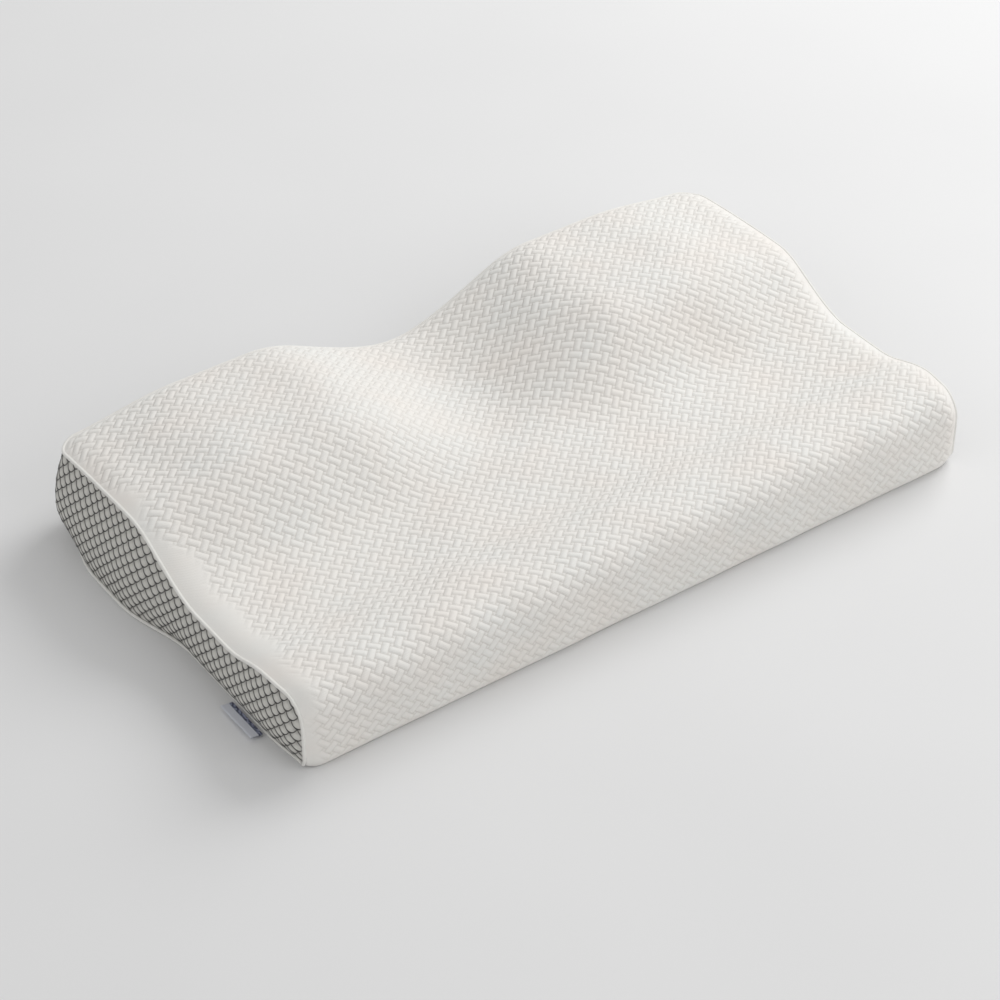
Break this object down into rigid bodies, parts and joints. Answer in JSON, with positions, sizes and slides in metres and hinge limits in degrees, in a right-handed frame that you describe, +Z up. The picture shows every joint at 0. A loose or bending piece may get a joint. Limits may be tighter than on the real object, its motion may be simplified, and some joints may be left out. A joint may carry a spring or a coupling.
{
  "type": "contour bed pillow",
  "caption": "Contour memory foam bed pillow with a head cradle between two wings, in a quilted knit cover with a mesh border, piping and a zip.",
  "frame": {"origin": "on the resting plane, under the middle of the pillow's body", "axes": "+X along the pillow's width, +Y from the low front lobe to the high back wings, +Z up"},
  "size_m": [0.6084, 0.3476, 0.0973],
  "materials": {
    "memory_foam": "matte",
    "liner_knit": "matte",
    "quilted_knit": "matte",
    "base_cloth": "matte",
    "border_mesh": "matte",
    "piping_cloth": "satin",
    "zip_tape": "matte",
    "zip_coil": "satin",
    "zip_metal": "satin",
    "label_weave": "satin",
    "care_label_satin": "satin"
  },
  "bodies": {
    "pillow": {"foam_core": "memory_foam", "inner_liner_upper": "liner_knit", "inner_liner_lower": "liner_knit", "cover_top_panel": "quilted_knit", "cover_bottom_panel": "base_cloth", "border_left": "border_mesh", "border_right": "border_mesh", "border_back_upper": "border_mesh", "border_back_lower": "border_mesh", "piping_upper": "piping_cloth", "piping_lower": "piping_cloth", "zip_tape_upper": "zip_tape", "zip_tape_lower": "zip_tape", "zip_coil_upper": "zip_coil", "zip_coil_lower": "zip_coil", "zip_stop_closed_end": "zip_metal", "zip_stop_open_end": "zip_metal", "woven_label": "label_weave", "care_label": "care_label_satin"},
    "slider": {"zip_slider": "zip_metal"},
    "pull": {"zip_pull": "zip_metal"}
  },
  "joints": [
    {"name": "zip_slide", "type": "slide", "parent": "pillow", "child": "slider", "axis": [-1, 0, 0], "range_m": [0, 0.488]},
    {"name": "zip_pull_flip", "type": "hinge", "parent": "slider", "child": "pull", "pos_m": [0.2442, 0.1733, 0.0225], "axis": [0, 0, -1], "range_deg": [0, 170]}
  ]
}
